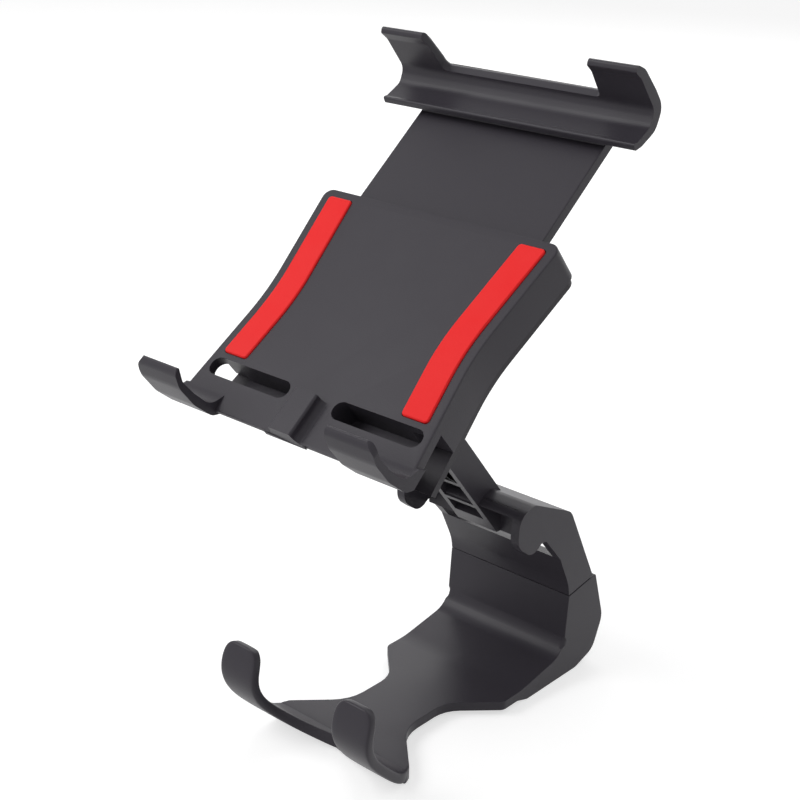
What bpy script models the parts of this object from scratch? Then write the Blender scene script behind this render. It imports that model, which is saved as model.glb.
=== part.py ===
import math

import bmesh
import bpy
from mathutils import Matrix, Vector

# Clip-on holder: a sprung clamp grips a game controller and its arm carries a tilting cradle.
# X runs across, Y away from the user and Z up. The world's origin is on the flat of the base's
# rear foot. Outlines are in millimetres, measured from the middle of the base plate.
MM = 0.001
GAP = 0.3                    # between pieces that touch
RUN = 0.3                    # between pieces that slide or turn on each other
FIT = 0.15                   # round the inlaid strips
SEAT = 0.2                   # under the heads of screws and bolt
footY = 25.0                 # the origin's place behind the middle of the base plate

# Base plate and its front hooks
plateTop = 4.0
plateWeb = 2.6               # thickness of the waisted middle
plateFront = -39.4
plateFlare = 21.9            # half width at the front corners
plateWaist = 9.7             # half width at the waist
waistFront = -24.2
waistBack = -8.3
hookInner = 14.2             # half distance between the front hooks
hookOuter = 24.4             # half distance over the front hooks
hookWall = 2.7
hookReach = 15.4             # how far the hooks stand in front of the plate
hookTop = 28.8
hookCorner = 2.9
hookFillet = 4.0             # between the hooks' inner sides and the plate's front

# Rear of the lower clamp
clampHalf = 20.9
wallInner = 30.3             # front face of the rear wall
seamZ = 24.9                 # parting of lower and upper clamp, at the front face
seamRise = 2.2               # the parting rises this much to the back
lowerBack = 42.8             # back of the lower clamp at the parting
lowerProud = 1.4             # the lower clamp stands this far behind the upper one
rearWidest = 47.9            # furthest back, low on the rear wall
rearKnee = 11.8              # height of that place
rearWall = 2.4
sideWall = 2.6
coverWall = 2.4
coverLow = 6.2

# Upper clamp
cheekWall = 2.6              # the two ends of the nose
skinWall = 2.2
sillY = 24.9                 # front sill of the cable window
sillZ = 38.3
sillFlat = 6.0               # depth of the window's floor, before it bends down
sillFall = 0.31              # the floor falls to the back by this slope
backFall = 0.62              # and by this one behind the bend
windowTop = 46.0             # its upper edge at the back
noseFront = 5.9
noseLow = 44.8               # lowest place of the nose's two end lobes
noseTop = 58.5
mouthTop = 56.2              # the nose's front skin ends here, and the nose is open below it
pocketBack = 16.2            # cross wall between the nose's pocket and the window
pocketWall = 2.2
pocketLow = 45.3

# Telescoping tongue and springs
tongueHalf = 6.0
tongueWall = 4.0
tongueFoot = 6.5
gripTravel = 12.0            # how far the clamp opens
springRadius = 1.7
springWire = 0.35
springTurns = 9
pegRadius = 0.9
pegLow = 7.2
pegHigh = 28.6
coverScrewZ = 12.0

# Cradle: v runs up its face from the ledge of the bottom hooks, n stands out of the face
cradleLean = 50.56           # lean back from upright, in degrees
faceY = -57.9                # the place v = 0, n = 0
faceZ = 92.8
pivotV = 30.0
pivotN = -19.0
cradleTop = 66.5
cradleHalf = 36.6            # half width at top and bottom
cradleWaist = 32.6           # half width at the waist, before its rounding
waistV = 34.0
cradleDepth = 12.1
faceWall = 3.0
rimWall = 2.0
backWall = 1.8
backInset = 0.5
stepV = 14.6                 # below this the sides are set in, behind the face
stepFront = 2.7
undersideRise = 0.34         # the underside rises to the back by this slope
coreHalf = 27.5
slotV = 10.8
slotHigh = 4.8
slotInner = 7.1
slotOuter = 33.4
slotDeep = 8.0
blockHalf = 3.55             # raised block in the middle of the ledge
blockHigh = 3.0
blockTop = 11.4
blockFoot = 1.9              # hollow rounding at the block's foot
ledgeInner = 23.4            # bottom hooks, half distances
ledgeOuter = 37.0
ledgeReach = 17.0
ledgeDrop = 2.8              # the hooks hang this far below the ledge
ledgeLip = 0.5               # height of their tips
ledgeWall = 1.7
ledgeCorner = 3.0            # outer corners of their tips

# Grip strips
stripLow = 14.8
stripHigh = 64.2
stripInset = 2.6
stripWide = 7.6
stripWall = 1.6
stripProud = 0.5

# Sliding jaw
slideRim = 4.1               # from the tub's waist to the slide
slideWall = 2.6
slideLow = 44.0
slideIn = 28.0
slideOut = 10.0
railInner = 22.0
railOuter = 26.0
railHigh = 2.4
jawHalf = 38.6
jawLip = 96.2                # lower lip of the jaw
jawTop = 109.9
jawWall = 3.0
jawBar = 2.7                 # height of the bar between the two hooks, out of the face
jawBarHalf = 24.1
jawHookHalf = 25.2
jawReach = 15.6
leafX = 14.0
leafHalf = 6.0
leafV = 54.0
leafReach = 9.0
leafWall = 0.4

# Arm and hinge
armHalf = 6.7
armHigh = 8.3
armWall = 1.8
armRoof = 2.0
armCell = 11.0               # pitch of the cross ribs
armRib = 1.6
ribN = -26.4                 # the first rib
armEnd = -80.5
knuckleRadius = 5.0
washerWall = 0.6
washerRadius = 4.6
lugWall = 3.6
lugRadius = 5.4
boltRadius = 2.0
boltHeadRadius = 3.9
boltHead = 2.4
nutRadius = 4.1
nutWall = 3.0

# Small screws
screwRadius = 0.85
screwHeadRadius = 1.9
screwHead = 0.9
screwLength = 6.0
screwSink = 0.8
screwTopV = 61.0
screwLowX = 22.0
screwLowV = 6.3

# What follows from these sizes
sill = (sillY, sillZ)
tubDepth = cradleDepth - backWall - GAP
slideHalf = cradleWaist - slideRim
screwTopX = slideHalf + RUN + screwHeadRadius - 0.1
slideFront = -faceWall - RUN
slideBack = slideFront - slideWall
channelBack = slideBack - RUN
cavityLow = slideLow - slideIn - 0.5
lugInner = armHalf + RUN
knuckleHalf = lugInner - washerWall - 2 * SEAT
lugOuter = lugInner + lugWall
chamberFront = wallInner + rearWall
tongueFront = chamberFront + 0.5
tongueBack = tongueFront + tongueWall
springY = tongueFront + 3.8
springX = tongueHalf + 4.1
coverScrewX = clampHalf - sideWall - 3.1
stopZ = tongueFoot + 3.0
bridgeLow = stopZ + screwHeadRadius + gripTravel + RUN
upperBack = lowerBack - lowerProud
lean = math.radians(cradleLean)

# Finishes, as base colour, roughness and metallic
CHARCOAL = ((0.072, 0.072, 0.080), 0.42, 0.0)
DARK = ((0.055, 0.055, 0.062), 0.48, 0.0)
RED = ((0.90, 0.035, 0.045), 0.55, 0.0)
STEEL = ((0.55, 0.55, 0.56), 0.32, 1.0)


def clear_scene():
    for item in list(bpy.data.objects):
        bpy.data.objects.remove(item, do_unlink=True)


def material(name, finish):
    made = bpy.data.materials.new(name)
    made.use_nodes = True
    shader = made.node_tree.nodes["Principled BSDF"]
    colour, roughness, metallic = finish
    shader.inputs["Base Color"].default_value = (*colour, 1.0)
    shader.inputs["Roughness"].default_value = roughness
    shader.inputs["Metallic"].default_value = metallic
    return made


# Outlines: a corner is (a, b, radius), and its rounding is an arc worked out here
def arc_at(before, corner, after):
    here = Vector(corner[:2])
    back = (Vector(before[:2]) - here).normalized()
    ahead = (Vector(after[:2]) - here).normalized()
    radius = corner[2] if len(corner) > 2 else 0.0
    opening = back.angle(ahead)
    if radius <= 0 or opening > math.radians(178):
        return [here]
    middle = here + (back + ahead).normalized() * (radius / math.sin(opening / 2))
    spoke = here + back * (radius / math.tan(opening / 2)) - middle
    sweep = math.pi - opening
    if back.x * ahead.y - back.y * ahead.x > 0:
        sweep = -sweep
    steps = max(2, math.ceil(abs(math.degrees(sweep)) / 12), math.ceil(abs(sweep) * radius / 2.5))
    return [middle + Matrix.Rotation(sweep * i / steps, 2) @ spoke for i in range(steps + 1)]


def outline(corners):
    points = []
    for i, corner in enumerate(corners):
        points += arc_at(corners[i - 1], corner, corners[(i + 1) % len(corners)])
    return points


def path(corners):
    points = [Vector(corners[0][:2])]
    for i in range(1, len(corners) - 1):
        points += arc_at(corners[i - 1], corners[i], corners[i + 1])
    return points + [Vector(corners[-1][:2])]


def inset(corners, distance):
    # the same run of corners, moved to the left of its direction, with radii that follow
    made = []
    last = len(corners) - 1
    for i, corner in enumerate(corners):
        here = Vector(corner[:2])
        ahead = (Vector(corners[min(i + 1, last)][:2]) - here).normalized()
        behind = (here - Vector(corners[max(i - 1, 0)][:2])).normalized()
        ahead = behind if i == last else ahead
        behind = ahead if i == 0 else behind
        side = Vector((-ahead.y - behind.y, ahead.x + behind.x)).normalized()
        place = here + side * (distance / side.dot(Vector((-ahead.y, ahead.x))))
        radius = corner[2] if len(corner) > 2 else 0.0
        turn = behind.x * ahead.y - behind.y * ahead.x
        if radius > 0:
            radius = max(0.3, radius - distance * math.copysign(1.0, turn))
        made.append((place.x, place.y, radius))
    return made


def ribbon(corners, wall):
    # a bent strip of even thickness about a path, with square ends
    line = path(corners)
    left = []
    right = []
    for i, point in enumerate(line):
        along = (line[min(i + 1, len(line) - 1)] - line[max(i - 1, 0)]).normalized()
        across_line = Vector((-along.y, along.x)) * (wall / 2)
        left.append(point + across_line)
        right.append(point - across_line)
    return left + right[::-1]


def mirrored(half):
    return half + [(-corner[0], *corner[1:]) for corner in half[::-1]]


def at(start, end, share):
    return tuple(start[i] + (end[i] - start[i]) * share for i in range(2))


def on_line(start, end, a=None, b=None):
    # the place on a line where its first or its second coordinate has the given value
    if a is not None:
        return at(start, end, (a - start[0]) / (end[0] - start[0]))
    return at(start, end, (b - start[1]) / (end[1] - start[1]))


# Where outlines lie: first and second coordinate, then the direction of extrusion
def across(p, q, t):
    return (t, p - footY, q)


def upward(p, q, t):
    return (p, q - footY, t)


def backward(p, q, t):
    return (p, t - footY, q)


def out_of_face(p, q, t):
    return (p, q - pivotV, t - pivotN)


def across_face(p, q, t):
    return (t, p - pivotV, q - pivotN)


def up_face(p, q, t):
    return (p, t - pivotV, q - pivotN)


def mirror_place(place):
    def other(p, q, t):
        x, y, z = place(p, q, t)
        return (-x, y, z)
    return other


def to_world(v, n):
    # a place on the cradle, as Y and Z measured from the base plate
    return (faceY + v * math.sin(lean) - n * math.cos(lean),
            faceZ + v * math.cos(lean) + n * math.sin(lean))


# Meshes: prisms, turned pieces and coils, all closed bodies
def finish_mesh(name, shape, place, finish=None, parent=None):
    for vert in shape.verts:
        vert.co = place(*vert.co)
    bmesh.ops.recalc_face_normals(shape, faces=shape.faces)
    if shape.calc_volume(signed=True) < 0:
        bmesh.ops.reverse_faces(shape, faces=shape.faces)
    bmesh.ops.scale(shape, verts=shape.verts, vec=(MM, MM, MM))
    mesh = bpy.data.meshes.new(name)
    shape.to_mesh(mesh)
    shape.free()
    made = bpy.data.objects.new(name, mesh)
    bpy.context.scene.collection.objects.link(made)
    made.parent = parent
    if finish:
        mesh.materials.append(finish)
    mesh.shade_smooth()
    mesh.set_sharp_from_angle(angle=math.radians(30))
    return made


def add_prism(shape, points, low, high, rim=0.0):
    bottom = [shape.verts.new((p[0], p[1], low)) for p in points]
    face = shape.faces.new(bottom)
    raised = bmesh.ops.extrude_face_region(shape, geom=[face])["geom"]
    lifted = [item for item in raised if isinstance(item, bmesh.types.BMVert)]
    bmesh.ops.translate(shape, verts=lifted, vec=(0, 0, high - low))
    if rim > 0:
        top = [item for item in raised if isinstance(item, bmesh.types.BMFace)][0]
        bmesh.ops.bevel(shape, geom=list(top.edges), offset=rim, segments=2, profile=0.6, affect="EDGES")
    return shape


def prism(name, points, low, high, place, finish=None, rim=0.0, parent=None):
    return finish_mesh(name, add_prism(bmesh.new(), points, low, high, rim), place, finish, parent)


def prisms(name, items, place, parent=None):
    # separate prisms in one cutter, each (points, low, high)
    shape = bmesh.new()
    for points, low, high in items:
        add_prism(shape, points, low, high)
    return finish_mesh(name, shape, place, None, parent)


def turned(name, rings, place, finish, sides=20, bored=False, parent=None):
    # rings of (height, radius) joined along the axis; a bored piece closes on itself
    shape = bmesh.new()
    loops = []
    for height, radius in rings:
        loops.append([shape.verts.new((p, q, height)) for p, q in circle(0, 0, radius, sides)])
    pairs = list(zip(loops, loops[1:]))
    if bored:
        pairs.append((loops[-1], loops[0]))
    else:
        shape.faces.new(loops[0][::-1])
        shape.faces.new(loops[-1])
    for lower, upper in pairs:
        for i in range(sides):
            k = (i + 1) % sides
            shape.faces.new((lower[i], lower[k], upper[k], upper[i]))
    return finish_mesh(name, shape, place, finish, parent)


def circle(a, b, radius, sides=24):
    step = 2 * math.pi / sides
    return [(a + radius * math.cos(i * step), b + radius * math.sin(i * step)) for i in range(sides)]


def box(a0, a1, b0, b1):
    return [(a0, b0), (a1, b0), (a1, b1), (a0, b1)]


def both(points, low, high):
    # the same prism on both sides of the middle
    return [(points, low, high), (points, -high, -low)]


def boolean(target, tool, operation):
    change = target.modifiers.new(operation.lower(), "BOOLEAN")
    change.operation = operation
    change.object = tool
    change.solver = "EXACT"
    tool.hide_render = True
    tool.display_type = "WIRE"


def cut(target, tool):
    boolean(target, tool, "DIFFERENCE")


def fuse(target, tool):
    boolean(target, tool, "UNION")


# Lower clamp: waisted base plate, two front hooks and the lower half of the rear wall
def seam(y):
    return seamZ + (y - wallInner) * seamRise / (lowerBack - wallInner)


def rear_line(z):
    return rearWidest - (z - rearKnee) * (rearWidest - lowerBack) / (seam(lowerBack) - rearKnee)


def base_plan():
    half = [
        (plateFlare - 2.4, plateFront, 5.0),
        (plateFlare, plateFront + 2.9, 1.0),
        (plateWaist, waistFront, 12.0),
        (plateWaist, waistBack, 10.0),
        (clampHalf, waistBack + clampHalf - plateWaist, 2.5),
        (clampHalf, rearWidest + 10.0),
    ]
    return outline(mirrored(half))


def lower_profile():
    web = plateTop - plateWeb
    return outline([
        (plateFront, 0.0, 0.7),
        (plateFront, plateTop, 1.0),
        (wallInner - 20.0, plateTop, 30.0),
        (wallInner - 1.0, plateTop + 3.4, 6.5),
        (wallInner, seam(wallInner)),
        (lowerBack, seam(lowerBack), 0.6),
        (rearWidest, rearKnee, 6.0),
        (rearWidest - 3.8, 2.6, 5.0),
        (rearWidest - 11.9, 0.0, 4.0),
        (footY - 11.5, 0.0, 2.0),
        (footY - 16.0, web, 3.0),
        (plateFront + 8.0, web, 2.0),
        (plateFront + 6.0, 0.0, 1.0),
    ])


def hook_strip(wall):
    # the hook springs from the plate's front edge, leans forward and turns up to its tip
    front = plateFront - hookReach
    return ribbon([(plateFront + 4.5, 2.2), (plateFront + 0.8, 2.9, 8.0), (front + 3.0, 13.6, 7.0),
                   (front - 0.1, 21.0, 9.0), (front + 2.4, hookTop)], wall)


def front_hook(name, side):
    front = plateFront - hookReach
    shape = add_prism(bmesh.new(), hook_strip(hookWall), hookInner, hookOuter)
    tips = [edge for edge in shape.edges
            if min(vert.co.y for vert in edge.verts) > hookTop - 1.5
            and abs(edge.verts[0].co.z - edge.verts[1].co.z) < 0.01]
    bmesh.ops.bevel(shape, geom=tips, offset=hookCorner, segments=4, profile=0.5, affect="EDGES")
    for vert in shape.verts:
        # the outer side runs in towards the plate
        share = (vert.co.z - hookInner) / (hookOuter - hookInner)
        vert.co.z -= share * 0.15 * max(0.0, vert.co.x - front + 1.2)
    place = across if side > 0 else mirror_place(across)
    return finish_mesh(name, shape, place)


def hook_corner(name, side):
    # a hollow rounding, seen from above, between a hook's inner side and the plate's front
    place = across if side > 0 else mirror_place(across)
    corner = prism(name, hook_strip(hookWall * 0.94), hookInner - hookFillet - 0.6, hookInner + 1.0, place)
    far = hookInner - hookFillet - 1.5
    near = hookInner + 0.1
    plan = outline([(near + 1.5, plateFront + 3.0), (far, plateFront + 3.0), (far, plateFront + 0.1),
                    (near, plateFront + 0.1, hookFillet), (near, plateFront - 6.0),
                    (near + 1.5, plateFront - 6.0)])
    over = upward if side > 0 else mirror_place(upward)
    boolean(corner, prism(name + "_plan", plan, -4.0, 20.0, over), "INTERSECT")
    return corner


def lower_clamp(finish):
    body = prism("lower_clamp", lower_profile(), -plateFlare - 1, plateFlare + 1, across, finish)
    boolean(body, prism("plate_plan", base_plan(), -5.0, 60.0, upward), "INTERSECT")
    for name, side in (("right", 1), ("left", -1)):
        fuse(body, front_hook("front_hook_" + name, side))
        fuse(body, hook_corner("hook_corner_" + name, side))
    inside = clampHalf - sideWall
    chamber = [(chamberFront, 60.0), (chamberFront, 5.0), (rearWidest - 7.0, 4.4),
               (rearWidest - 2.6, coverLow), (60.0, coverLow), (60.0, 60.0)]
    cut(body, prism("lower_chamber", chamber, -inside, inside, across))
    # guide of the tongue, with the bridge that its stop screw meets
    ribs = tongueHalf + RUN
    deep = tongueBack + 3.0
    guide = both(box(chamberFront - 0.6, deep, 3.5, bridgeLow + 1.8), ribs, ribs + 1.4)
    fuse(body, prisms("tongue_guide", guide, across))
    bridge = box(-ribs - 0.7, ribs + 0.7, bridgeLow, bridgeLow + 1.8)
    fuse(body, prism("stop_bridge", bridge, tongueBack + 0.5, deep, backward))
    fuse(body, prisms("lower_pegs", [(circle(side * springX, pegLow, pegRadius, 12),
                                      chamberFront - 0.6, deep) for side in (1, -1)], backward))
    fuse(body, prisms("cover_bosses", [(circle(side * coverScrewX, coverScrewZ, 2.2, 18),
                                        chamberFront - 0.6, cover_seat()) for side in (1, -1)], backward))
    cut(body, prisms("cover_pilots", [(circle(side * coverScrewX, coverScrewZ, screwRadius + 0.1, 14),
                                       cover_seat() - screwLength, cover_seat() + 3)
                                      for side in (1, -1)], backward))
    return body


def cover_seat():
    return rearWidest - coverWall - 1.2


def rear_cover(finish):
    # a bent plate that closes the back of the lower clamp between its side walls
    inside = clampHalf - sideWall - GAP
    top = seam(lowerBack) - 0.4
    low = coverLow + GAP
    knee = (rearWidest - 3.8, 2.6)
    outer = [(rear_line(top), top), (rearWidest, rearKnee, 6.0),
             on_line((rearWidest, rearKnee), knee, b=low)]
    inner = [(corner[0] - coverWall, *corner[1:]) for corner in outer]
    body = prism("lower_rear_cover", path(outer) + path(inner)[::-1], -inside, inside, across, finish)
    seat = rearWidest - 1.7
    cut(body, prisms("cover_holes", [(circle(side * coverScrewX, coverScrewZ, screwRadius + 0.25, 16),
                                      rearWidest - 9, rearWidest + 2) for side in (1, -1)], backward))
    cut(body, prisms("cover_sinks", [(circle(side * coverScrewX, coverScrewZ, screwHeadRadius + 0.2, 20),
                                      seat, rearWidest + 2) for side in (1, -1)], backward))
    return body


def screw_rings(length):
    # from the point to the head's crown, the head's underside at zero
    return [(-length, screwRadius * 0.6), (-length + 0.6, screwRadius), (0.0, screwRadius),
            (0.0, screwHeadRadius), (screwHead * 0.6, screwHeadRadius), (screwHead, screwHeadRadius * 0.7)]


def screw(name, place, finish, length=screwLength, parent=None):
    return turned(name, screw_rings(length), place, finish, 16, parent=parent)


def coil(name, x, y, low, high, finish):
    # an extension spring between its two pegs, its wire swept along a helix
    shape = bmesh.new()
    around = 12
    sides = 6
    total = springTurns * around
    loops = []
    for i in range(total + 1):
        turn = 2 * math.pi * i / around
        radial = Vector((math.cos(turn), math.sin(turn), 0.0))
        centre = radial * springRadius + Vector((0, 0, low + (high - low) * i / total))
        tilt = math.atan2((high - low) / springTurns, 2 * math.pi * springRadius)
        tangent = Vector((-radial.y, radial.x, 0.0)) * math.cos(tilt) + Vector((0, 0, math.sin(tilt)))
        other = tangent.cross(radial)
        loop = []
        for p, q in circle(0, 0, springWire, sides):
            loop.append(shape.verts.new(centre + radial * p + other * q + Vector((x, y, 0))))
        loops.append(loop)
    for lower, upper in zip(loops, loops[1:]):
        for i in range(sides):
            k = (i + 1) % sides
            shape.faces.new((lower[i], lower[k], upper[k], upper[i]))
    shape.faces.new(loops[0][::-1])
    shape.faces.new(loops[-1])
    return finish_mesh(name, shape, upward, finish)


# Upper clamp: upper rear wall with a cable window, hollow nose, tongue and ribbed arm
def nose_corners():
    return [
        (wallInner, seam(wallInner) + GAP),
        (wallInner - 0.5, seamZ + 3.6, 12.0),
        (*sill, 0.8),
        (noseFront + 10.7, noseLow + 2.8, 2.5),
        (noseFront + 6.3, noseLow - 1.2, 4.0),
        (noseFront - 0.7, noseLow + 4.2, 5.0),
        (noseFront - 0.3, noseTop - 1.0, 4.5),
        (noseFront + 5.9, noseTop + 0.5, 3.0),
        (wallInner - 1.7, noseTop - 7.2, 5.0),
        (upperBack, seam(upperBack) + GAP, 0.5),
    ]


def window_cut(inner):
    bend = (sillY + sillFlat, sillZ - sillFlat * sillFall)
    far = (bend[0] + 20.0, bend[1] - 20.0 * backFall)
    near = (sillY - 4.0, sillZ + 4.0 * sillFall)
    wall = pocketBack + pocketWall
    roof = on_line(inner[7], inner[8], a=wall)
    edge = on_line(inner[8], inner[9], b=windowTop)
    return outline([near, (*bend, 8.0), far, (far[0], windowTop), edge, inner[8], roof,
                    (wall, noseLow - 2.6)])


def pocket_cut(inner):
    # the nose's hollow, open to the front and below between the two end lobes
    roof = on_line(inner[7], inner[8], a=pocketBack)
    mouth = on_line(inner[5], inner[6], b=mouthTop)
    return outline([(pocketBack, noseLow - 12.0), (*roof, 0.8), inner[7], inner[6], mouth,
                    (noseFront - 8.0, mouthTop), (noseFront - 8.0, noseLow - 12.0)])


def arm_box(v0, v1, n0, n1):
    return [to_world(v0, n0), to_world(v1, n0), to_world(v1, n1), to_world(v0, n1)]


def arm(inner):
    # a bar of box section, open below, whose cross ribs show in the nose's mouth
    low = pivotV - armHigh / 2
    high = pivotV + armHigh / 2
    root = to_world(high, pivotN - knuckleRadius - 0.2)
    foot = to_world(low, pivotN - knuckleRadius - 0.2)
    slope = (math.cos(lean), -math.sin(lean))
    wall = pocketBack + pocketWall * 0.5
    # the roof line ends in the skin and the side walls end on the cross wall
    skin = meet(root, slope, inner[7], inner[8])
    skin = (skin[0] + slope[0] * 0.9, skin[1] + slope[1] * 0.9)
    heel = on_line(foot, (foot[0] + slope[0], foot[1] + slope[1]), b=pocketLow)
    body = prism("arm_bar", [foot, root, skin, (wall, skin[1] - 1.0), (wall, pocketLow), heel],
                 -armHalf, armHalf, across)
    inside = armHalf - armWall
    cells = []
    n = ribN
    while n - armCell > armEnd + 4.0:
        cells.append((arm_box(low - 3.0, high - armRoof, n - armRib / 2, n - armCell + armRib / 2),
                      -inside, inside))
        n -= armCell
    last = arm_box(low - 1.0, high - armRoof, n - armRib / 2, armEnd + 3.5)
    cells.append((last, -inside, inside))
    cut(body, prisms("arm_cells", cells, across))
    return body


def meet(start, direction, a, b):
    # where a line from start meets the line through a and b
    run = (b[0] - a[0], b[1] - a[1])
    bottom = direction[0] * run[1] - direction[1] * run[0]
    share = ((a[0] - start[0]) * run[1] - (a[1] - start[1]) * run[0]) / bottom
    return (start[0] + direction[0] * share, start[1] + direction[1] * share)


def upper_clamp(finish):
    half = clampHalf - 0.1
    inside = half - cheekWall
    corners = nose_corners()
    inner = inset(corners, -skinWall)
    body = prism("upper_clamp", outline(corners), -half, half, across, finish)
    cut(body, prism("cable_window", window_cut(inner), -inside, inside, across))
    cut(body, prism("nose_pocket", pocket_cut(inner), -inside, inside, across))
    roof = on_line(inner[7], inner[8], a=pocketBack)
    fuse(body, prism("cross_wall", box(pocketBack, pocketBack + pocketWall, pocketLow, roof[1] + 0.6),
                     -inside - 0.2, inside + 0.2, across))
    fuse(body, arm(inner))
    neck = arm_box(pivotV - armHigh / 2, pivotV + armHigh / 2, pivotN, pivotN - knuckleRadius * 1.2)
    fuse(body, prism("arm_neck", neck, -knuckleHalf, knuckleHalf, across))
    eye = to_world(pivotV, pivotN)
    fuse(body, prism("knuckle", circle(*eye, knuckleRadius, 32), -knuckleHalf, knuckleHalf, across))
    cut(body, prism("knuckle_bore", circle(*eye, boltRadius + 0.2, 24), -armHalf - 3, armHalf + 3, across))
    # tongue and spring pockets under the wall
    fuse(body, prism("tongue", box(tongueFront, tongueBack, tongueFoot, seamZ + 4.0),
                     -tongueHalf, tongueHalf, across))
    cut(body, prism("stop_pilot", circle(0, stopZ, screwRadius + 0.1, 14), tongueFront + 0.8,
                    tongueBack + 3, backward))
    cut(body, prisms("spring_pockets", [(circle(side * springX, springY, springRadius + 0.75, 20),
                                         seamZ - 6, pegHigh + 1.4) for side in (1, -1)], upward))
    fuse(body, prisms("upper_pegs", [(circle(side * springX, pegHigh, pegRadius, 12),
                                      springY - 3.2, springY + 3.2) for side in (1, -1)], backward))
    return body


# The hinge's axis, the place of the empty that carries the cradle
def cradle_pivot():
    eye = to_world(pivotV, pivotN)
    frame = bpy.data.objects.new("cradle_pivot", None)
    bpy.context.scene.collection.objects.link(frame)
    frame.location = Vector((0, eye[0] - footY, eye[1])) * MM
    frame.rotation_euler = (math.pi / 2 - lean, 0, 0)
    return frame


# Cradle: hourglass tub with inlaid strips, closed by a back that carries the hinge's lugs
def hourglass(shrink, low=0.0, high=None, corner=2.5):
    high = cradleTop if high is None else high
    half = [
        (side_line(high) - shrink, high, corner),
        (cradleWaist - shrink, waistV, 60.0),
        (side_line(low) - shrink, low, min(corner, 1.5)),
    ]
    return half


def side_line(v):
    end = cradleTop if v > waistV else 0.0
    return cradleWaist + (cradleHalf - cradleWaist) * abs((v - waistV) / (end - waistV))


def bottom_slope():
    # the underside rises from the front edge to the back
    far = cradleDepth + 1.0
    return [(undersideRise, -1.0), (far * undersideRise, -far), (-8, -far), (-8, -1.0)]


def ledge_hook(name, side, frame):
    # a shallow gutter that turns up at its tip, with a rounded outer corner
    reach = ledgeReach
    floor = ledgeWall - ledgeDrop
    profile = outline([
        (5.6, -2.0), (4.5, -0.05), (0.1, 2.05, 4.5), (floor + 0.2, reach - 8.5, 6.0),
        (floor - 0.05, reach - 3.8, 3.0), (ledgeLip, reach - 0.2, 0.4), (ledgeLip - 0.4, reach + 0.2, 0.4),
        (1.4 - ledgeDrop, reach - 0.5, 2.0), (-ledgeDrop, reach - 4.2, 5.0), (-ledgeDrop, 6.0, 6.0),
        (-1.3, -0.6, 3.0), (0.6, -2.4),
    ])
    place = across_face if side > 0 else mirror_place(across_face)
    hook = prism(name, profile, ledgeInner, ledgeOuter, place, parent=frame)
    plan = outline([(ledgeInner - 5, -9), (ledgeOuter, -9), (ledgeOuter, reach + 0.3, ledgeCorner),
                    (ledgeInner, reach + 0.3, 0.7), (ledgeInner, 0.0), (ledgeInner - 5, 0.0)])
    over = up_face if side > 0 else mirror_place(up_face)
    boolean(hook, prism(name + "_plan", plan, -9.0, 12.0, over, parent=frame), "INTERSECT")
    return hook


def ledge_block(frame):
    # the block between the slots, its foot hollowed out into the face
    half = [(blockHalf + blockFoot + 1.0, -1.2), (blockHalf + blockFoot + 1.0, -0.05),
            (blockHalf, -0.05, blockFoot), (blockHalf, blockHigh, 0.7)]
    return prism("ledge_block", outline(mirrored(half)), -0.3, blockTop, up_face, parent=frame)


def stadium(low, high, centre, tall):
    radius = tall / 2
    return outline([(low, centre - radius, radius * 0.98), (high, centre - radius, radius * 0.98),
                    (high, centre + radius, radius * 0.98), (low, centre + radius, radius * 0.98)])


def strip_outline(extra, side):
    outer = hourglass(stripInset - extra, stripLow - extra, stripHigh + extra, 1.0)
    inner = hourglass(stripInset + stripWide + extra, stripLow - extra, stripHigh + extra, 1.0)
    outer[2] = (outer[2][0], outer[2][1], 1.0)
    inner[2] = (inner[2][0], inner[2][1], 1.0)
    return outline([(side * corner[0], *corner[1:]) for corner in outer + inner[::-1]])


def cradle_screw_places():
    return [(screwTopX, screwTopV), (-screwTopX, screwTopV), (screwLowX, screwLowV), (-screwLowX, screwLowV)]


def cradle_front(finish, frame):
    body = prism("cradle_front", outline(mirrored(hourglass(0.0))), -tubDepth, 0.0, out_of_face, finish,
                 0.5, frame)
    wide = slideHalf + RUN
    cut(body, prism("side_recesses_right", box(coreHalf, 50, -9, stepV), -tubDepth - 2, -stepFront,
                    out_of_face, parent=frame))
    cut(body, prism("side_recesses_left", box(-50, -coreHalf, -9, stepV), -tubDepth - 2, -stepFront,
                    out_of_face, parent=frame))
    cut(body, prism("underside", bottom_slope(), -60, 60, across_face, parent=frame))
    fuse(body, ledge_hook("ledge_hook_right", 1, frame))
    fuse(body, ledge_hook("ledge_hook_left", -1, frame))
    fuse(body, ledge_block(frame))
    cut(body, prism("slide_channel", box(-wide, wide, cavityLow, cradleTop + 9), channelBack, -faceWall,
                    out_of_face, parent=frame))
    cut(body, prism("tub_cavity", box(-wide, wide, cavityLow, cradleTop - rimWall), -tubDepth - 2,
                    channelBack + 0.2, out_of_face, parent=frame))
    cut(body, prisms("slots", [(stadium(slotInner, slotOuter, slotV, slotHigh), -slotDeep, 2),
                               (stadium(-slotOuter, -slotInner, slotV, slotHigh), -slotDeep, 2)],
                     out_of_face, frame))
    deep = stripWall - stripProud + FIT
    cut(body, prisms("strip_beds", [(strip_outline(FIT, 1), -deep, 2), (strip_outline(FIT, -1), -deep, 2)],
                     out_of_face, frame))
    pilots = [(circle(x, v, screwRadius + 0.1, 14), -tubDepth - 2, -tubDepth + 4.6)
              for x, v in cradle_screw_places()]
    cut(body, prisms("tub_pilots", pilots, out_of_face, frame))
    return body


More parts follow.
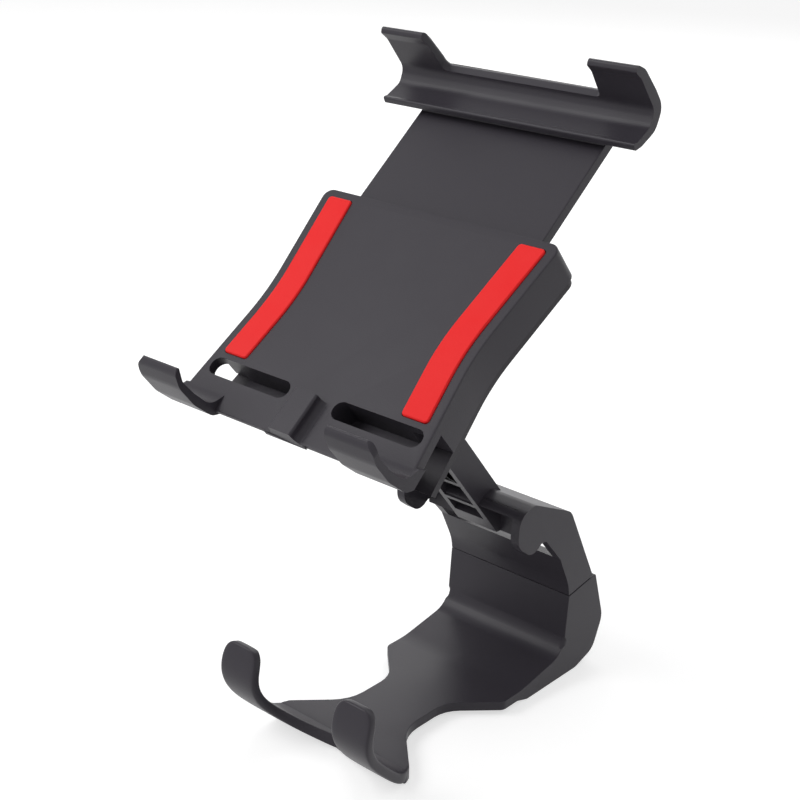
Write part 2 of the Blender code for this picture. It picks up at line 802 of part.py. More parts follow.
def cradle_back(finish, frame):
    back = -cradleDepth
    body = prism("cradle_back", outline(mirrored(hourglass(backInset, 0.0, cradleTop - backInset))),
                 back, back + backWall, out_of_face, finish, parent=frame)
    cut(body, prism("back_underside", bottom_slope(), -60, 60, across_face, parent=frame))
    root = back + 0.6
    low = pivotN - lugRadius
    lug = outline([(pivotV - 8.0, root), (pivotV + 8.0, root), (pivotV + lugRadius, low, lugRadius - 0.4),
                   (pivotV - lugRadius, low, lugRadius - 0.4)])
    fuse(body, prisms("hinge_lugs", both(lug, lugInner, lugOuter), across_face, frame))
    cut(body, prism("lug_bores", circle(pivotV, pivotN, boltRadius + 0.2, 24), -lugOuter - 3, lugOuter + 3,
                    across_face, parent=frame))
    holes = [(circle(x, v, screwRadius + 0.25, 16), back - 3, back + 5) for x, v in cradle_screw_places()]
    sinks = [(circle(x, v, screwHeadRadius + 0.2, 20), back - 3, back + screwSink)
             for x, v in cradle_screw_places()]
    cut(body, prisms("back_holes", holes, out_of_face, frame))
    cut(body, prisms("back_sinks", sinks, out_of_face, frame))
    return body


def cradle_screw(name, x, v, finish, frame):
    seat = -cradleDepth + screwSink - SEAT

    def place(p, q, t):
        return out_of_face(p + x, q + v, seat - t)
    return screw(name, place, finish, parent=frame)


# Sliding jaw: a plate that runs in the tub, with a gutter and two hooks over the device's top
def jaw_outline():
    inner = jawTop - jawWall
    return outline([
        (jawLip, -1.0, 0.5), (jawLip + 2.5, -2.1), (jawTop - 5.3, -3.3, 5.0), (jawTop, -0.6, 4.0),
        (jawTop, 5.0), (jawTop - 0.7, jawReach - 3.2, 4.0), (jawTop - 2.5, jawReach, 0.8),
        (inner - 0.9, jawReach - 1.2, 0.5), (inner - 0.1, jawReach - 4.1, 3.0), (inner, 1.2, 3.0),
        (inner - 3.5, -0.9, 3.0), (jawLip + 1.8, 0.1), (jawLip + 0.4, 1.0, 0.5),
    ])


def sliding_jaw(finish, frame):
    body = prism("sliding_jaw", outline(mirrored([(slideHalf, slideLow, 2.0), (slideHalf, jawTop - 6.0)])),
                 slideBack, slideFront, out_of_face, finish, 0.3, frame)
    web = [(jawLip + 1.0, slideFront - 0.6), (jawLip + 3.2, -1.5), (jawTop - 4.8, -2.3),
           (jawTop - 5.4, slideBack + 0.2)]
    fuse(body, prism("jaw_web", web, -slideHalf + 0.3, slideHalf - 0.3, across_face, parent=frame))
    gutter = prism("jaw_gutter", jaw_outline(), -jawHalf, jawHalf, across_face, parent=frame)
    mouth = outline(mirrored([(jawBarHalf, jawBar, 1.6), (jawHookHalf + 0.2, jawReach + 3)]))
    cut(gutter, prism("jaw_mouth", mouth, jawTop - 8.0, jawTop + 8.0, up_face, parent=frame))
    fuse(body, gutter)
    rails = []
    for low, high in ((railInner, railOuter), (-railOuter, -railInner)):
        rails.append((box(low, high, slideLow, cradleTop - rimWall - slideOut - RUN),
                      slideBack - railHigh, slideBack + 0.5))
    fuse(body, prisms("stop_rails", rails, out_of_face, frame))
    return body


def leaf_spring(name, side, finish, frame):
    # an arched leaf between the back and the slide, which holds the jaw by friction
    low = -cradleDepth + backWall + 0.2 + leafWall / 2
    high = slideBack - 0.25 - leafWall / 2
    line = []
    for i in range(-8, 9):
        share = i / 8
        line.append((leafV + leafReach * share, low + (high - low) * (1 + math.cos(math.pi * share)) / 2))
    place = across_face if side > 0 else mirror_place(across_face)
    return prism(name, ribbon(line, leafWall), leafX - leafHalf, leafX + leafHalf, place, finish, parent=frame)


def hinge_hardware(finish):
    # bolt, nut and two washers stay with the arm, so they hang on the upper clamp
    eye = to_world(pivotV, pivotN)

    def place(p, q, t):
        return across(p + eye[0], q + eye[1], t)
    head = lugOuter + SEAT
    seat = -lugOuter - SEAT
    end = seat - nutWall * 1.27
    tip = boltRadius * 0.2
    turned("hinge_bolt", [(end, boltRadius - tip), (end + tip, boltRadius), (head, boltRadius),
                          (head, boltHeadRadius), (head + boltHead * 0.6, boltHeadRadius),
                          (head + boltHead, boltHeadRadius * 0.68)], place, finish, 24)
    nut = prism("hinge_nut", circle(*eye, nutRadius, 6), seat - nutWall, seat, across, finish)
    cut(nut, prism("nut_bore", circle(*eye, boltRadius + 0.15, 24), -lugOuter - 9, -lugOuter + 3, across))
    for name, side in (("hinge_washer_right", 1), ("hinge_washer_left", -1)):
        inner = side * (knuckleHalf + SEAT)
        outer = side * (knuckleHalf + SEAT + washerWall)
        turned(name, [(inner, boltRadius + 0.15), (outer, boltRadius + 0.15), (outer, washerRadius),
                      (inner, washerRadius)], place, finish, 24, True)


def build():
    clear_scene()
    shell = material("charcoal_plastic", CHARCOAL)
    dark = material("dark_plastic", DARK)
    red = material("red_rubber", RED)
    steel = material("steel", STEEL)

    lower_clamp(shell)
    rear_cover(dark)
    head_seat = rearWidest - 1.7 + SEAT
    for name, side in (("cover_screw_right", 1), ("cover_screw_left", -1)):
        screw(name, lambda p, q, t, s=side: backward(p + s * coverScrewX, q + coverScrewZ, t + head_seat), steel)
    rest = pegRadius + springWire + GAP
    for name, side in (("clamp_spring_right", 1), ("clamp_spring_left", -1)):
        coil(name, side * springX, springY, pegLow + rest, pegHigh - rest, steel)

    upper_clamp(shell)
    screw("tongue_stop_screw", lambda p, q, t: backward(p, q + stopZ, t + tongueBack + SEAT), steel, 3.0)
    hinge_hardware(steel)

    frame = cradle_pivot()
    cradle_front(shell, frame)
    cradle_back(dark, frame)
    for name, side in (("grip_strip_right", 1), ("grip_strip_left", -1)):
        prism(name, strip_outline(0.0, side), stripProud - stripWall, stripProud, out_of_face, red, 0.3, frame)
    for i, (x, v) in enumerate(cradle_screw_places()):
        cradle_screw("cradle_screw_" + "abcd"[i], x, v, steel, frame)
    sliding_jaw(shell, frame)
    leaf_spring("friction_spring_right", 1, steel, frame)
    leaf_spring("friction_spring_left", -1, steel, frame)


build()
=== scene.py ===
import bpy, bmesh, math
from mathutils import Matrix, Vector


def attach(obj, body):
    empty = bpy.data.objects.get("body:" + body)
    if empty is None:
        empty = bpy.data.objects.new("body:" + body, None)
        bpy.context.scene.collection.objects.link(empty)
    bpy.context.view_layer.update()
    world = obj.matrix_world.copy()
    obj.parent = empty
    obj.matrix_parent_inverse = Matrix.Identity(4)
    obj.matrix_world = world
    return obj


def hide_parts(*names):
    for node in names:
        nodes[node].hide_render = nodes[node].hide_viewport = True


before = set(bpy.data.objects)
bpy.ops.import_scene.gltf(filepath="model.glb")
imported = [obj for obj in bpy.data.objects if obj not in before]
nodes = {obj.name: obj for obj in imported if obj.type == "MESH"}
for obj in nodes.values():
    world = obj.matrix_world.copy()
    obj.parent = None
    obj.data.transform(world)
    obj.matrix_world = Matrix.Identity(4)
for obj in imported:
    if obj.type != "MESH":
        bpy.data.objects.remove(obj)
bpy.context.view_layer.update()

mm = 0.001


# Shader groups: each puts out only a colour, a mask, a value or a normal
def newGroup(name, inputs, outputs):
    group = bpy.data.node_groups.new(name, "ShaderNodeTree")
    for label, kind, value in inputs:
        socket = group.interface.new_socket(name=label, in_out="INPUT", socket_type=kind)
        socket.default_value = value
    for label, kind in outputs:
        group.interface.new_socket(name=label, in_out="OUTPUT", socket_type=kind)
    return group, group.nodes.new("NodeGroupInput"), group.nodes.new("NodeGroupOutput")


def addNoise(tree, scale, detail):
    noise = tree.nodes.new("ShaderNodeTexNoise")
    noise.inputs["Scale"].default_value = scale
    noise.inputs["Detail"].default_value = detail
    return noise


def addMaths(tree, operation):
    maths = tree.nodes.new("ShaderNodeMath")
    maths.operation = operation
    return maths


def addRange(tree, side, least, most):
    # side is "From" for the span that is read, "To" for the span that is written
    spread = tree.nodes.new("ShaderNodeMapRange")
    spread.inputs[side + " Min"].default_value = least
    spread.inputs[side + " Max"].default_value = most
    return spread


def addColourMix(tree):
    mix = tree.nodes.new("ShaderNodeMix")
    mix.data_type = "RGBA"
    colours = [socket for socket in mix.inputs if socket.type == "RGBA"]
    result = [socket for socket in mix.outputs if socket.type == "RGBA"][0]
    return mix.inputs["Factor"], colours[0], colours[1], result


grainLook = {"size": 2600.0, "depth": 0.12, "detail": 3.0, "roughness": 0.6,
             "driftScale": 55.0, "driftDetail": 2.0}


def mouldGrainGroup():
    # the fine even grain of a spark-eroded mould as a height, with a slow waviness as a mask
    look = grainLook
    group, start, end = newGroup(
        "mouldGrain",
        [("Grain size", "NodeSocketFloat", look["size"]), ("Grain depth", "NodeSocketFloat", look["depth"])],
        [("Height", "NodeSocketFloat"), ("Mask", "NodeSocketFloat")])
    coords = group.nodes.new("ShaderNodeTexCoord")
    fine = addNoise(group, look["size"], look["detail"])
    fine.inputs["Roughness"].default_value = look["roughness"]
    slow = addNoise(group, look["driftScale"], look["driftDetail"])
    depth = addMaths(group, "MULTIPLY")
    links = group.links
    links.new(coords.outputs["Object"], fine.inputs["Vector"])
    links.new(coords.outputs["Object"], slow.inputs["Vector"])
    links.new(start.outputs["Grain size"], fine.inputs["Scale"])
    links.new(fine.outputs["Fac"], depth.inputs[0])
    links.new(start.outputs["Grain depth"], depth.inputs[1])
    links.new(depth.outputs[0], end.inputs["Height"])
    links.new(slow.outputs["Fac"], end.inputs["Mask"])
    return group


# the rubbed colour and the edges range are edge wear; the darkest colour and the hollows range are painted
# shade in inner corners
rubAndShadeLook = {"base": (0.07, 0.07, 0.08, 1.0), "rubbed": (0.12, 0.12, 0.13, 1.0),
           "deep": (0.04, 0.04, 0.045, 1.0), "amount": 0.35, "patchScale": 140.0, "patchDetail": 4.0,
           "edges": (0.52, 0.64), "shadedHollows": (0.48, 0.38)}


def edgeRubAndHollowShadeGroup():
    # paler rubbed edges as wear, and painted shade that darkens the inner corners, both from the surface's
    # own curvature
    look = rubAndShadeLook
    group, start, end = newGroup(
        "edgeRubAndHollowShade",
        [("Base", "NodeSocketColor", look["base"]), ("Rubbed", "NodeSocketColor", look["rubbed"]),
         ("Deep", "NodeSocketColor", look["deep"]), ("Amount", "NodeSocketFloat", look["amount"])],
        [("Color", "NodeSocketColor"), ("Edge", "NodeSocketFloat")])
    shape = group.nodes.new("ShaderNodeNewGeometry")
    coords = group.nodes.new("ShaderNodeTexCoord")
    patches = addNoise(group, look["patchScale"], look["patchDetail"])
    edges = addRange(group, "From", *look["edges"])
    # painted shade: this mask picks out the hollows and inner corners, where shade falls
    shadedHollows = addRange(group, "From", *look["shadedHollows"])
    broken = addMaths(group, "MULTIPLY")
    share = addMaths(group, "MULTIPLY")
    paleShare, paleFrom, paleTo, pale = addColourMix(group)
    # the second mix paints shade into the hollows; its result is the group's colour
    paintedShadeShare, darkFrom, paintedShadeColour, dark = addColourMix(group)
    links = group.links
    links.new(coords.outputs["Object"], patches.inputs["Vector"])
    links.new(shape.outputs["Pointiness"], edges.inputs["Value"])
    links.new(shape.outputs["Pointiness"], shadedHollows.inputs["Value"])
    links.new(edges.outputs["Result"], broken.inputs[0])
    links.new(patches.outputs["Fac"], broken.inputs[1])
    links.new(broken.outputs[0], share.inputs[0])
    links.new(start.outputs["Amount"], share.inputs[1])
    links.new(share.outputs[0], paleShare)
    links.new(start.outputs["Base"], paleFrom)
    links.new(start.outputs["Rubbed"], paleTo)
    links.new(shadedHollows.outputs["Result"], paintedShadeShare)
    links.new(pale, darkFrom)
    links.new(start.outputs["Deep"], paintedShadeColour)
    links.new(dark, end.inputs["Color"])
    links.new(share.outputs[0], end.inputs["Edge"])
    return group


mouldGrain = mouldGrainGroup()
edgeRubAndHollowShade = edgeRubAndHollowShadeGroup()


def addGroup(tree, group, **values):
    node = tree.nodes.new("ShaderNodeGroup")
    node.node_tree = group
    for label, value in values.items():
        node.inputs[label.replace("_", " ")].default_value = value
    return node


def newMaterial(name):
    made = bpy.data.materials.new(name)
    made.use_nodes = True
    return made, made.node_tree, made.node_tree.nodes["Principled BSDF"]


def mouldedPlastic(name, look):
    # satin plastic: edges are rubbed, inner corners get painted shade, the roughness drifts a little, the
    # grain feeds a bump
    made, tree, shader = newMaterial(name)
    rub = addGroup(tree, edgeRubAndHollowShade, Base=(*look["colour"], 1.0), Rubbed=(*look["rubbed"], 1.0),
                   Deep=(*look["deep"], 1.0), Amount=look["rubAmount"])
    grain = addGroup(tree, mouldGrain, Grain_size=look["grainSize"], Grain_depth=look["grainDepth"])
    level, swing = look["roughness"], look["roughDrift"]
    drift = addRange(tree, "To", level - swing, level + swing)
    bump = tree.nodes.new("ShaderNodeBump")
    bump.inputs["Strength"].default_value = look["bump"]
    bump.inputs["Distance"].default_value = look["bumpDistance"]
    tree.links.new(rub.outputs["Color"], shader.inputs["Base Color"])
    tree.links.new(grain.outputs["Mask"], drift.inputs["Value"])
    tree.links.new(drift.outputs["Result"], shader.inputs["Roughness"])
    tree.links.new(grain.outputs["Height"], bump.inputs["Height"])
    tree.links.new(bump.outputs["Normal"], shader.inputs["Normal"])
    shader.inputs["Specular IOR Level"].default_value = look["specular"]
    return made


# in each look the darkest of the three colours is painted shade for inner corners
charcoalLook = {"colour": (0.041, 0.037, 0.046), "rubbed": (0.060, 0.056, 0.066),
                "deep": (0.022, 0.019, 0.025), "rubAmount": 0.3, "grainSize": 2600.0, "grainDepth": 1.0,
                "roughness": 0.40, "roughDrift": 0.05, "bump": 0.25, "bumpDistance": 0.0001, "specular": 0.22}
# a darker plastic for the back mouldings, its colour lowered further as painted shade for the slot floors
# seen through the front
darkPlasticAndSlotShadeLook = dict(charcoalLook, colour=(0.028, 0.025, 0.031), roughness=0.46)
redLook = {"colour": (1.0, 0.014, 0.016), "rubbed": (1.0, 0.06, 0.055), "deep": (0.76, 0.01, 0.012),
           "rubAmount": 0.3, "grainSize": 1800.0, "grainDepth": 1.0, "roughness": 0.55,
           "roughDrift": 0.06, "bump": 0.35, "bumpDistance": 0.0001, "specular": 0.2}
charcoal = mouldedPlastic("charcoalPlastic", charcoalLook)
darkPlasticAndSlotShade = mouldedPlastic("darkPlasticAndSlotShade", darkPlasticAndSlotShadeLook)
redRubber = mouldedPlastic("redRubber", redLook)


def platedSteel(name, look):
    made, tree, shader = newMaterial(name)
    coords = tree.nodes.new("ShaderNodeTexCoord")
    specks = addNoise(tree, look["scale"], look["detail"])
    tint = tree.nodes.new("ShaderNodeValToRGB")
    tint.color_ramp.elements[0].color = (*look["dark"], 1.0)
    tint.color_ramp.elements[1].color = (*look["light"], 1.0)
    rough = addRange(tree, "To", *look["roughness"])
    tree.links.new(coords.outputs["Object"], specks.inputs["Vector"])
    tree.links.new(specks.outputs["Fac"], tint.inputs["Fac"])
    tree.links.new(specks.outputs["Fac"], rough.inputs["Value"])
    tree.links.new(tint.outputs["Color"], shader.inputs["Base Color"])
    tree.links.new(rough.outputs["Result"], shader.inputs["Roughness"])
    shader.inputs["Metallic"].default_value = 1.0
    return made


steelLook = {"scale": 900.0, "detail": 4.0, "dark": (0.38, 0.38, 0.40), "light": (0.62, 0.62, 0.64),
             "roughness": (0.24, 0.42)}
zincSteel = platedSteel("zincSteel", steelLook)
print("materials ready")


# Pieces: a copy of a solid is merged, its flat faces joined, its edges rounded
copyLook = {"merge": 0.00001, "flatWithin": 0.6}
edgeLook = {"segments": 2, "sharper": 32, "smoothBelow": 35, "faceWeight": 90}


def deselectAll():
    if bpy.context.object and bpy.context.object.mode != "OBJECT":
        bpy.ops.object.mode_set(mode="OBJECT")
    bpy.ops.object.select_all(action="DESELECT")


def activate(piece):
    deselectAll()
    piece.select_set(True)
    bpy.context.view_layer.objects.active = piece


def copyOfNode(node, name):
    piece = nodes[node].copy()
    piece.data = nodes[node].data.copy()
    piece.name = name
    piece.data.name = name
    piece.parent = None
    piece.matrix_world = Matrix.Identity(4)
    bpy.context.scene.collection.objects.link(piece)
    activate(piece)
    bpy.ops.object.mode_set(mode="EDIT")
    bpy.ops.mesh.select_all(action="SELECT")
    bpy.ops.mesh.remove_doubles(threshold=copyLook["merge"])
    bpy.ops.mesh.dissolve_limited(angle_limit=math.radians(copyLook["flatWithin"]), delimit={"NORMAL"})
    bpy.ops.object.mode_set(mode="OBJECT")
    return piece


def applyAll(piece):
    activate(piece)
    for modifier in list(piece.modifiers):
        bpy.ops.object.modifier_apply(modifier=modifier.name)


def roundEdges(piece, width):
    bevel = piece.modifiers.new("rounding", "BEVEL")
    bevel.width = width
    bevel.segments = edgeLook["segments"]
    bevel.limit_method = "ANGLE"
    bevel.angle_limit = math.radians(edgeLook["sharper"])
    bevel.miter_outer = "MITER_ARC"
    applyAll(piece)
    bpy.ops.object.shade_smooth_by_angle(angle=math.radians(edgeLook["smoothBelow"]))
    even = piece.modifiers.new("evenShading", "WEIGHTED_NORMAL")  # keeps broad flat faces flat
    even.keep_sharp = True
    even.weight = edgeLook["faceWeight"]
    applyAll(piece)


def dress(piece, finish, body, standsFor):
    piece.data.materials.clear()
    piece.data.materials.append(finish)
    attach(piece, body)
    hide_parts(standsFor)


# Shaping by hand on a copy, before its small edges are rounded. Each test gets a place in mm
def editVerts(piece, test):
    activate(piece)
    bpy.ops.object.mode_set(mode="EDIT")
    bpy.ops.mesh.select_mode(type="VERT")
    bpy.ops.mesh.select_all(action="DESELECT")
    mesh = bmesh.from_edit_mesh(piece.data)
    for vert in mesh.verts:
        if test(*(vert.co / mm)):
            vert.select_set(True)
    mesh.select_flush_mode()
    bmesh.update_edit_mesh(piece.data)


def softenEdges(piece, width, segments, test, sharper=30):
    activate(piece)
    bpy.ops.object.mode_set(mode="EDIT")
    bpy.ops.mesh.select_mode(type="EDGE")
    bpy.ops.mesh.select_all(action="DESELECT")
    mesh = bmesh.from_edit_mesh(piece.data)
    for edge in mesh.edges:
        sharp = len(edge.link_faces) == 2 and edge.calc_face_angle() > math.radians(sharper)
        if sharp and all(test(*(vert.co / mm)) for vert in edge.verts):
            edge.select_set(True)
    bmesh.update_edit_mesh(piece.data)
    bpy.ops.mesh.bevel(offset=width, offset_type="OFFSET", segments=segments, affect="EDGES",
                       clamp_overlap=False, miter_outer="ARC")
    bpy.ops.object.mode_set(mode="OBJECT")


# The side edges of the rear wall, on both halves of the clamp (mm)
wallLook = {"rounding": 1.2, "segments": 4, "side": 20.85, "behind": 5.6}


def softenWall(piece, low, high):
    look = wallLook
    softenEdges(piece, look["rounding"] * mm, look["segments"],
                lambda x, y, z: abs(x) > look["side"] and y < look["behind"] and low < z < high)


# Two soft S-shaped front hooks, each drawn along a path of (y, z) from its root to its tip (mm)
hookLook = {
    "path": [(-60.4, 2.05), (-62.4, 2.15), (-64.5, 2.5), (-67.2, 4.1), (-70.0, 6.7),
             (-73.2, 9.8), (-76.6, 13.3), (-79.2, 17.2), (-80.1, 21.0), (-79.5, 24.4),
             (-78.5, 27.2), (-78.0, 28.6), (-77.8, 29.1)],
    "inner": [-0.8, -0.8, -0.6, 8.6, 12.3, 13.4, 13.5, 13.4, 13.4, 13.4, 13.8, 15.2, 16.9],
    "outer": [20.4, 22.1, 22.8, 23.2, 23.6, 24.1, 24.5, 25.0, 25.3, 25.4, 25.0, 23.6, 22.0],
    "across": 3, "thick": 2.7, "rootEnd": -66.2, "rootHeight": 2.3, "rootGrowth": 1.28,
    "soft": 0.62, "softSegments": 2, "sharper": 60, "smoothing": 2}


def placeFirstStations(hook, side, stations):
    # the grid's two rows are put at the first two stations, the second one is left selected
    for end in (0, 1):
        mesh = bmesh.from_edit_mesh(hook.data)
        for vert in mesh.verts:
            vert.tag = vert.co.y > 0 if end else (vert.co.y < 0 and vert.co.z == 0)
        (y, z), inner, outer = stations[end]
        for vert in mesh.verts:
            if vert.tag:
                share = vert.co.x + 0.5
                vert.co = (side * (inner + (outer - inner) * share) * mm, y * mm, z * mm)
        for edge in mesh.edges:
            edge.select = False
        for edge in mesh.edges:
            if all(vert.tag for vert in edge.verts):
                edge.select_set(True)
        bmesh.update_edit_mesh(hook.data)


def turnOutward():
    bpy.ops.mesh.select_all(action="SELECT")
    bpy.ops.mesh.normals_make_consistent(inside=False)
    bpy.ops.object.mode_set(mode="OBJECT")


def makeFrontHook(side):
    look = hookLook
    deselectAll()
    bpy.ops.mesh.primitive_grid_add(x_subdivisions=look["across"], y_subdivisions=1, size=1.0)
    hook = bpy.context.object
    hook.name = "frontHook"
    bpy.ops.object.mode_set(mode="EDIT")
    bpy.ops.mesh.select_mode(type="EDGE")
    stations = list(zip(look["path"], look["inner"], look["outer"]))
    placeFirstStations(hook, side, stations)
    for ((y0, z0), in0, out0), ((y1, z1), in1, out1) in zip(stations[1:], stations[2:]):
        slide = side * (in1 + out1 - in0 - out0) / 2 * mm
        bpy.ops.mesh.extrude_edges_move(
            TRANSFORM_OT_translate={"value": (slide, (y1 - y0) * mm, (z1 - z0) * mm)})
        bpy.ops.transform.resize(value=((out1 - in1) / (out0 - in0), 1, 1),
                                 center_override=(side * (in1 + out1) / 2 * mm, y1 * mm, z1 * mm))
    turnOutward()
    wall = hook.modifiers.new("wall", "SOLIDIFY")
    wall.thickness = look["thick"] * mm
    wall.offset = 0
    wall.use_even_offset = True
    applyAll(hook)
    editVerts(hook, lambda x, y, z: y > look["rootEnd"])  # the root is as thick as the plate
    bpy.ops.transform.resize(value=(1, 1, look["rootGrowth"]),
                             center_override=(0, 0, look["rootHeight"] * mm))
    bpy.ops.object.mode_set(mode="OBJECT")
    softenEdges(hook, look["soft"] * mm, look["softSegments"], lambda x, y, z: True, look["sharper"])
    smooth = hook.modifiers.new("smooth", "SUBSURF")
    smooth.levels = smooth.render_levels = look["smoothing"]
    applyAll(hook)
    bpy.ops.object.shade_smooth()
    activate(hook)
    bpy.ops.object.mode_set(mode="EDIT")
    turnOutward()
    return hook


def addFrontHooks(piece):
    for side in (1, -1):
        hook = makeFrontHook(side)
        hook.data.materials.clear()
        activate(piece)
        hook.select_set(True)
        bpy.ops.object.join()


# The base plate's front is cut back and drawn out again in two steps, wider and with round corners (mm)
plateLook = {"cut": -59.2, "cutThreshold": 0.001, "steps": [(-61.1, 1.096), (-64.4, 1.06)], "within": 0.01,
             "corner": 1.8, "cornerSegments": 5, "cornerFrom": 21,
             "rim": 0.5, "rimSegments": 3, "rimFrom": 0.3, "rimSharper": 50, "wall": (9, 24.5)}


def shapeLowerClamp(piece):
    look = plateLook
    activate(piece)
    bpy.ops.object.mode_set(mode="EDIT")
    bpy.ops.mesh.select_mode(type="FACE")
    bpy.ops.mesh.select_all(action="SELECT")
    bpy.ops.mesh.bisect(plane_co=(0, look["cut"] * mm, 0), plane_no=(0, -1, 0), use_fill=True,
                        clear_outer=True, threshold=look["cutThreshold"] * mm)
    bpy.ops.mesh.select_all(action="DESELECT")
    mesh = bmesh.from_edit_mesh(piece.data)
    for face in mesh.faces:
        if all(abs(vert.co.y - look["cut"] * mm) < look["within"] * mm for vert in face.verts):
            face.select_set(True)
    bmesh.update_edit_mesh(piece.data)
    front = look["cut"]
    for depth, widening in look["steps"]:
        bpy.ops.mesh.extrude_region_move(TRANSFORM_OT_translate={"value": (0, (depth - front) * mm, 0)})
        bpy.ops.transform.resize(value=(widening, 1, 1), center_override=(0, 0, 0))
        front = depth
    bpy.ops.object.mode_set(mode="OBJECT")
    softenEdges(piece, look["corner"] * mm, look["cornerSegments"],
                lambda x, y, z: abs(x) > look["cornerFrom"] and y < front + look["within"])
    softenEdges(piece, look["rim"] * mm, look["rimSegments"],
                lambda x, y, z: y < look["cut"] - look["rimFrom"], look["rimSharper"])
    softenWall(piece, *look["wall"])


def shapeUpperClamp(piece):
    softenWall(piece, 26, 37)


# The cradle leans back: directions up its face and out of it, from a point at its foot (mm)
cradleFoot = Vector((0, -82.9, 92.8))
cradleUp = Vector((0, 0.7723, 0.6353))
cradleOut = Vector((0, -0.6353, 0.7723))
blockLook = {"half": 6.0, "below": -0.2, "shave": 0.26}
jawLook = {"half": 25.3, "above": 108.7, "beyond": 2.2, "rounding": 1.3, "segments": 4}


def onCradle(y, z):
    place = Vector((0, y, z)) - cradleFoot
    return place.dot(cradleUp), place.dot(cradleOut)


def shapeCradleFront(piece):
    # the centre block's foot is shaved level with the plate's lower edge
    look = blockLook
    editVerts(piece, lambda x, y, z: abs(x) < look["half"] and onCradle(y, z)[0] < look["below"])
    bpy.ops.transform.translate(value=cradleUp * look["shave"] * mm)
    bpy.ops.object.mode_set(mode="OBJECT")


def shapeJaw(piece):
    # the bar's top and the hooks' slanting sides are rounded off to the back
    look = jawLook

    def atBack(x, y, z):
        up, out = onCradle(y, z)
        return abs(x) < look["half"] and up > look["above"] and out > look["beyond"]

    softenEdges(piece, look["rounding"] * mm, look["segments"], atBack)


shaping = {"lower_clamp": shapeLowerClamp, "upper_clamp": shapeUpperClamp, "cradle_front": shapeCradleFront,
           "sliding_jaw": shapeJaw}
mouldings = {
    "lower_clamp": ("lower", charcoal, "charcoal_plastic", 0.35),
    "lower_rear_cover": ("lower", darkPlasticAndSlotShade, "dark_plastic", 0.25),
    "upper_clamp": ("upper", charcoal, "charcoal_plastic", 0.30),
    "cradle_front": ("cradle", charcoal, "charcoal_plastic", 0.30),
    "cradle_back": ("cradle", darkPlasticAndSlotShade, "dark_plastic", 0.25),
    "sliding_jaw": ("jaw", charcoal, "charcoal_plastic", 0.50),
    "grip_strip_left": ("cradle", redRubber, "red_rubber", 0.25),
    "grip_strip_right": ("cradle", redRubber, "red_rubber", 0.25),
}
for node, (body, finish, slotName, rounding) in mouldings.items():
    piece = copyOfNode(node, "shell_" + node)
    if node in shaping:
        shaping[node](piece)
    roundEdges(piece, rounding * mm)
    if node == "lower_clamp":
        addFrontHooks(piece)
    dress(piece, finish, body, node)
print("mouldings ready")

for node, solid in nodes.items():
    if node not in mouldings:
        solid.data.materials.clear()
        solid.data.materials.append(zincSteel)
print("hardware ready")


# Floor, world, lights and camera
stage = {"floorSize": 6.0, "floorColour": (0.62, 0.62, 0.62), "floorRoughness": 0.9, "floorSpecular": 0.1,
         "lift": 0.62, "worldColour": (1.0, 1.0, 1.0), "worldStrength": 0.42, "seenStrength": 1.0,
         "middle": (0.0, -0.03, 0.08)}
softboxes = {"keySoftbox": {"place": (-0.62, -0.72, 0.90), "size": (0.7, 0.7), "power": 7.0},
             "fillSoftbox": {"place": (0.95, -0.15, 0.45), "size": (0.8, 0.8), "power": 0.15},
             "backSoftbox": {"place": (-0.35, 0.85, 0.75), "size": (1.0, 0.6), "power": 4.2}}
cameraLook = {"sensor": 36.0, "lens": 68.5, "place": (0.225507, -0.303730, 0.228585),
              "right": (0.74899698, 0.66211562, 0.02462583), "down": (0.26320185, -0.26321869, -0.9281383),
              "ahead": (-0.60805289, 0.70165435, -0.37142006)}


def seenRays(tree):
    # 1 for what the camera sees, also in a reflection or through something clear
    rays = tree.nodes.new("ShaderNodeLightPath")
    mirrored = addMaths(tree, "MAXIMUM")
    either = addMaths(tree, "MAXIMUM")
    tree.links.new(rays.outputs["Is Glossy Ray"], mirrored.inputs[0])
    tree.links.new(rays.outputs["Is Transmission Ray"], mirrored.inputs[1])
    tree.links.new(rays.outputs["Is Camera Ray"], either.inputs[0])
    tree.links.new(mirrored.outputs[0], either.inputs[1])
    return either.outputs[0]


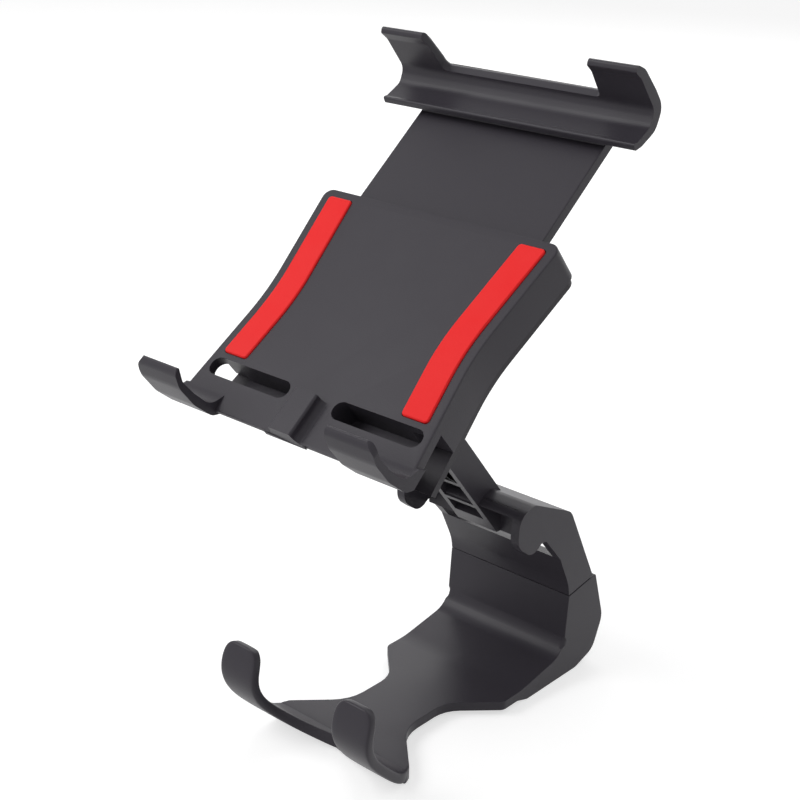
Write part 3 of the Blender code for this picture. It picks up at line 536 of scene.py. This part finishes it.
def makeFloor():
    deselectAll()
    bpy.ops.mesh.primitive_plane_add(size=stage["floorSize"], location=(0, 0, 0))
    floor = bpy.context.object
    floor.name = "floor"
    made, tree, shader = newMaterial("floorPaint")
    shader.inputs["Base Color"].default_value = (*stage["floorColour"], 1.0)
    shader.inputs["Roughness"].default_value = stage["floorRoughness"]
    shader.inputs["Specular IOR Level"].default_value = stage["floorSpecular"]
    glow = tree.nodes.new("ShaderNodeEmission")
    strength = addMaths(tree, "MULTIPLY")
    strength.inputs[1].default_value = stage["lift"]
    both = tree.nodes.new("ShaderNodeAddShader")
    tree.links.new(seenRays(tree), strength.inputs[0])
    tree.links.new(strength.outputs[0], glow.inputs["Strength"])
    tree.links.new(shader.outputs[0], both.inputs[0])
    tree.links.new(glow.outputs[0], both.inputs[1])
    tree.links.new(both.outputs[0], tree.nodes["Material Output"].inputs["Surface"])
    floor.data.materials.append(made)


def makeWorld():
    world = bpy.data.worlds.new("studio")
    bpy.context.scene.world = world
    world.use_nodes = True
    tree = world.node_tree
    back = tree.nodes["Background"]
    back.inputs["Color"].default_value = (*stage["worldColour"], 1.0)
    level = addRange(tree, "To", stage["worldStrength"], stage["seenStrength"])
    tree.links.new(seenRays(tree), level.inputs["Value"])
    tree.links.new(level.outputs["Result"], back.inputs["Strength"])


def addSoftbox(name, look):
    light = bpy.data.lights.new(name, "AREA")
    light.shape = "RECTANGLE"
    light.size, light.size_y = look["size"]
    light.energy = look["power"]
    lamp = bpy.data.objects.new(name, light)
    bpy.context.scene.collection.objects.link(lamp)
    lamp.location = look["place"]
    aim = Vector(stage["middle"]) - Vector(look["place"])
    lamp.rotation_euler = aim.to_track_quat("-Z", "Y").to_euler()


def makeCamera():
    look = cameraLook
    lens = bpy.data.cameras.new("photoCamera")
    lens.sensor_width = look["sensor"]
    lens.lens = look["lens"]
    camera = bpy.data.objects.new("photoCamera", lens)
    bpy.context.scene.collection.objects.link(camera)
    right, down, ahead = (Vector(look[axis]) for axis in ("right", "down", "ahead"))
    turn = Matrix((right, -down, -ahead)).transposed().to_4x4()
    camera.matrix_world = Matrix.Translation(look["place"]) @ turn
    bpy.context.scene.camera = camera


makeFloor()
makeWorld()
for name, look in softboxes.items():
    addSoftbox(name, look)
makeCamera()
bpy.context.scene.view_settings.view_transform = "Standard"
print("stage ready")
